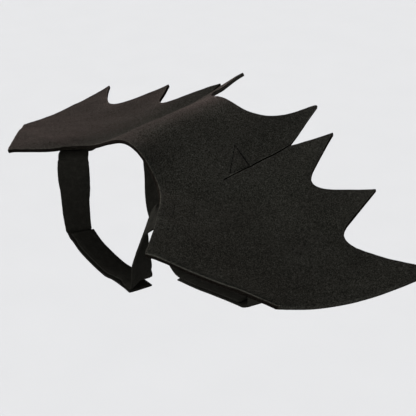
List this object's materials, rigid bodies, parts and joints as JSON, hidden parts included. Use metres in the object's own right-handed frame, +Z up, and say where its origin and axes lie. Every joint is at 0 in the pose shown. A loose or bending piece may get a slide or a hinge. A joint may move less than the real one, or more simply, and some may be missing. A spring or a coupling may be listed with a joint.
{
  "type": "pet costume bat wings",
  "caption": "Black felt bat wings with scalloped rear edges, bent as a saddle over a small pet's back and held by hook-and-loop chest and belly strap loops.",
  "frame": {"origin": "underside of the felt on the wearer's back line, 45 mm behind the start of the flat pattern, where the saddle rests on the back", "axes": "+Z up, -Y toward the wearer's head (the neck cut-out), +X toward the wearer's left wing; the flat felt pattern is mirror-symmetric about X = 0, and worn it sits a few millimetres unevenly at the neck edge"},
  "size_m": [0.4424, 0.1854, 0.1564],
  "materials": {
    "felt": "black needle felt, dense matted fibres, raw cut edges",
    "strap": "black woven nylon strap with hook-and-loop faces"
  },
  "bodies": {
    "root": {"wing_sheet": "felt", "front_strap_right": "strap", "front_strap_left": "strap", "rear_strap_right": "strap", "rear_strap_left": "strap"}
  },
  "joints": []
}
